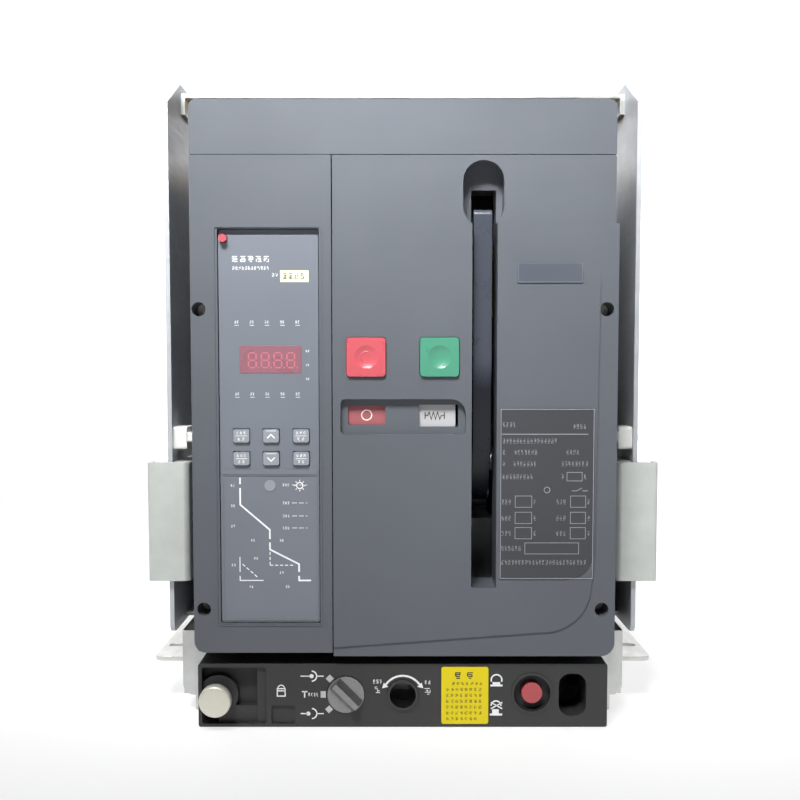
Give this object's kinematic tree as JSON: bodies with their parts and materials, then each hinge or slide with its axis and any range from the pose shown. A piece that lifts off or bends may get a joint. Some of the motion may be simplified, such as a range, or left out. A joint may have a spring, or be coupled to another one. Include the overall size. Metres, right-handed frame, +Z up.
{
  "type": "air circuit breaker",
  "caption": "Draw-out air circuit breaker with three poles in its cradle, with trip unit, charging handle, push buttons, racking drive and rear terminals",
  "frame": {"origin": "on the floor under the middle of the part's bounding box", "axes": "front looks along -Y, +X is to the right of a person who faces the front, +Z is up"},
  "size_m": [0.282, 0.352, 0.351],
  "materials": {
    "zinc_sheet": "bright zinc plated sheet, slightly mottled",
    "plate_steel": "grey painted sheet with bare light edges",
    "feet_steel": "zinc plated angle",
    "panel_plastic": "charcoal moulding with a fine satin texture",
    "label_yellow": null,
    "brown_moulding": "dark thermoset moulding",
    "tinned_bar": "tinned copper bar",
    "silvered_copper": "silver plated copper",
    "socket_plastic": "dark grey connector plastic",
    "nylon": "white nylon",
    "zinc_fastener": "zinc plated screws",
    "rail_zinc": "pale greenish grey rail",
    "turned_steel": "turned steel",
    "carriage_steel": "zinc plated carriage",
    "knob_silver": "satin metal knob",
    "button_red": "red moulded plastic, satin",
    "plunger_cream": "nickel plated head",
    "shutter_plastic": "cream insulating sheet",
    "case_plastic": "dark grey moulding",
    "cover_plastic": "blue-grey moulded cover with fine spark texture",
    "plate_dark": "dark grey printed plate",
    "plate_pale": "pale blue-grey blank plate",
    "chute_fibre": "vulcanised fibre and steel plates",
    "ct_resin": "cast resin ring",
    "bare_copper": "braided copper",
    "spring_steel": "dark coil spring",
    "coil_tape": "taped coil",
    "motor_steel": "motor shell",
    "fascia_plastic": "dark blue-grey fascia film",
    "lens_red": "dark red display window",
    "handle_plastic": "dark slate handle",
    "button_green": "green moulded plastic, satin",
    "flag_red": "red flag",
    "flag_white": "white flag",
    "key_plastic": "grey membrane key"
  },
  "bodies": {
    "chassis": {"base_tray": "zinc_sheet", "side_plate_left": "plate_steel", "side_plate_right": "plate_steel", "mounting_feet": "feet_steel", "chassis_panel": "panel_plastic", "warning_label": "label_yellow", "contact_base": "brown_moulding", "rear_terminals": "tinned_bar", "finger_clusters": "silvered_copper", "top_bridge": "zinc_sheet", "secondary_socket": "socket_plastic", "guide_blocks": "nylon", "chassis_screws": "zinc_fastener"},
    "rail_left": {"guide_rail_left": "rail_zinc"},
    "rail_right": {"guide_rail_right": "rail_zinc"},
    "racking_screw": {"racking_screw": "turned_steel"},
    "carriage": {"racking_carriage": "carriage_steel"},
    "position_knob": {"position_knob": "knob_silver"},
    "release_button": {"release_button": "button_red"},
    "lock_plunger": {"lock_plunger": "plunger_cream"},
    "upper_shutter": {"shutter_upper": "shutter_plastic"},
    "lower_shutter": {"shutter_lower": "shutter_plastic"},
    "breaker": {"pole_base": "brown_moulding", "front_case": "case_plastic", "main_cover": "cover_plastic", "trip_cover": "cover_plastic", "top_cover": "cover_plastic", "cover_screws": "zinc_fastener", "rating_plate": "plate_dark", "blank_plate": "plate_pale", "arc_chutes": "chute_fibre", "upper_stabs": "silvered_copper", "lower_stabs": "silvered_copper", "current_transformers": "ct_resin", "flexible_shunts": "bare_copper", "mechanism_plates": "zinc_sheet", "closing_springs": "spring_steel", "release_coils": "coil_tape", "auxiliary_switch": "socket_plastic", "charging_motor": "motor_steel", "secondary_plug": "socket_plastic", "support_lugs": "zinc_sheet", "trip_unit_case": "case_plastic", "trip_fascia": "fascia_plastic", "display_lens": "lens_red"},
    "contacts": {"moving_contacts": "silvered_copper"},
    "main_shaft": {"main_shaft": "turned_steel"},
    "cam_shaft": {"cam_shaft": "turned_steel"},
    "handle": {"charging_handle": "handle_plastic"},
    "close_button": {"close_button": "button_green"},
    "open_button": {"open_button": "button_red"},
    "onoff_flag": {"onoff_flag": "flag_red"},
    "charge_flag": {"charge_flag": "flag_white"},
    "reset_button": {"reset_button": "button_red"},
    "key_1": {"key_1": "key_plastic"},
    "key_2": {"key_2": "key_plastic"},
    "key_3": {"key_3": "key_plastic"},
    "key_4": {"key_4": "key_plastic"},
    "key_5": {"key_5": "key_plastic"},
    "key_6": {"key_6": "key_plastic"}
  },
  "joints": [
    {"name": "racking_slide", "type": "slide", "parent": "chassis", "child": "carriage", "axis": [0, -1, 0], "range_m": [0, 0.045]},
    {"name": "withdraw_slide", "type": "slide", "parent": "carriage", "child": "breaker", "axis": [0, -1, 0], "range_m": [0, 0.2]},
    {"name": "screw_turn", "type": "hinge", "parent": "chassis", "child": "racking_screw", "pos_m": [0, 0, 0.0172], "axis": [0, -1, 0], "range_deg": [0, 3240]},
    {"name": "position_turn", "type": "hinge", "parent": "chassis", "child": "position_knob", "pos_m": [-0.03, 0, 0.0175], "axis": [0, -1, 0], "range_deg": [0, 90]},
    {"name": "upper_shutter_slide", "type": "slide", "parent": "chassis", "child": "upper_shutter", "axis": [0, 0, 1], "range_m": [0, 0.03]},
    {"name": "lower_shutter_slide", "type": "slide", "parent": "chassis", "child": "lower_shutter", "axis": [0, 0, -1], "range_m": [0, 0.03]},
    {"name": "rail_left_slide", "type": "slide", "parent": "chassis", "child": "rail_left", "axis": [0, -1, 0], "range_m": [0, 0.15]},
    {"name": "rail_right_slide", "type": "slide", "parent": "chassis", "child": "rail_right", "axis": [0, -1, 0], "range_m": [0, 0.15]},
    {"name": "release_press", "type": "slide", "parent": "chassis", "child": "release_button", "axis": [0, 1, 0], "range_m": [0, 0.004], "stiffness_N_per_m": 800, "springref_m": -0.001},
    {"name": "lock_pull", "type": "slide", "parent": "chassis", "child": "lock_plunger", "axis": [0, -1, 0], "range_m": [0, 0.015]},
    {"name": "contacts_turn", "type": "hinge", "parent": "breaker", "child": "contacts", "pos_m": [0, 0.026, 0.16], "axis": [-1, 0, 0], "range_deg": [0, 18]},
    {"name": "main_shaft_turn", "type": "hinge", "parent": "breaker", "child": "main_shaft", "pos_m": [0, -0.042, 0.13], "axis": [1, 0, 0], "range_deg": [0, 50]},
    {"name": "onoff_flag_slide", "type": "slide", "parent": "breaker", "child": "onoff_flag", "axis": [0, 0, -1], "range_m": [0, 0.011]},
    {"name": "cam_shaft_turn", "type": "hinge", "parent": "breaker", "child": "cam_shaft", "pos_m": [0, -0.075, 0.2], "axis": [1, 0, 0], "range_deg": [0, 180]},
    {"name": "charge_flag_slide", "type": "slide", "parent": "breaker", "child": "charge_flag", "axis": [0, 0, -1], "range_m": [0, 0.011]},
    {"name": "handle_pull", "type": "hinge", "parent": "breaker", "child": "handle", "pos_m": [0.0414, -0.128, 0.122], "axis": [1, 0, 0], "range_deg": [0, 90], "stiffness_Nm_per_rad": 0.25, "springref_deg": -17.19},
    {"name": "close_press", "type": "slide", "parent": "breaker", "child": "close_button", "axis": [0, 1, 0], "range_m": [0, 0.004], "stiffness_N_per_m": 900, "springref_m": -0.001},
    {"name": "open_press", "type": "slide", "parent": "breaker", "child": "open_button", "axis": [0, 1, 0], "range_m": [0, 0.004], "stiffness_N_per_m": 900, "springref_m": -0.001},
    {"name": "reset_press", "type": "slide", "parent": "breaker", "child": "reset_button", "axis": [0, 1, 0], "range_m": [0, 0.002], "stiffness_N_per_m": 400, "springref_m": -0.0005},
    {"name": "key_1_press", "type": "slide", "parent": "breaker", "child": "key_1", "axis": [0, 1, 0], "range_m": [0, 0.0006], "stiffness_N_per_m": 1500, "springref_m": -0.0003},
    {"name": "key_2_press", "type": "slide", "parent": "breaker", "child": "key_2", "axis": [0, 1, 0], "range_m": [0, 0.0006], "stiffness_N_per_m": 1500, "springref_m": -0.0003},
    {"name": "key_3_press", "type": "slide", "parent": "breaker", "child": "key_3", "axis": [0, 1, 0], "range_m": [0, 0.0006], "stiffness_N_per_m": 1500, "springref_m": -0.0003},
    {"name": "key_4_press", "type": "slide", "parent": "breaker", "child": "key_4", "axis": [0, 1, 0], "range_m": [0, 0.0006], "stiffness_N_per_m": 1500, "springref_m": -0.0003},
    {"name": "key_5_press", "type": "slide", "parent": "breaker", "child": "key_5", "axis": [0, 1, 0], "range_m": [0, 0.0006], "stiffness_N_per_m": 1500, "springref_m": -0.0003},
    {"name": "key_6_press", "type": "slide", "parent": "breaker", "child": "key_6", "axis": [0, 1, 0], "range_m": [0, 0.0006], "stiffness_N_per_m": 1500, "springref_m": -0.0003}
  ],
  "couplings": [
    {"joint": "screw_turn", "follows": "racking_slide", "rad_per_m": 1256.6},
    {"joint": "position_turn", "follows": "racking_slide", "rad_per_m": 34.907},
    {"joint": "upper_shutter_slide", "follows": "racking_slide", "ratio": 0.66667},
    {"joint": "lower_shutter_slide", "follows": "racking_slide", "ratio": 0.66667},
    {"joint": "contacts_turn", "follows": "main_shaft_turn", "ratio": 0.36},
    {"joint": "onoff_flag_slide", "follows": "main_shaft_turn", "m_per_rad": 0.012605},
    {"joint": "charge_flag_slide", "follows": "cam_shaft_turn", "m_per_rad": 0.0035014}
  ]
}
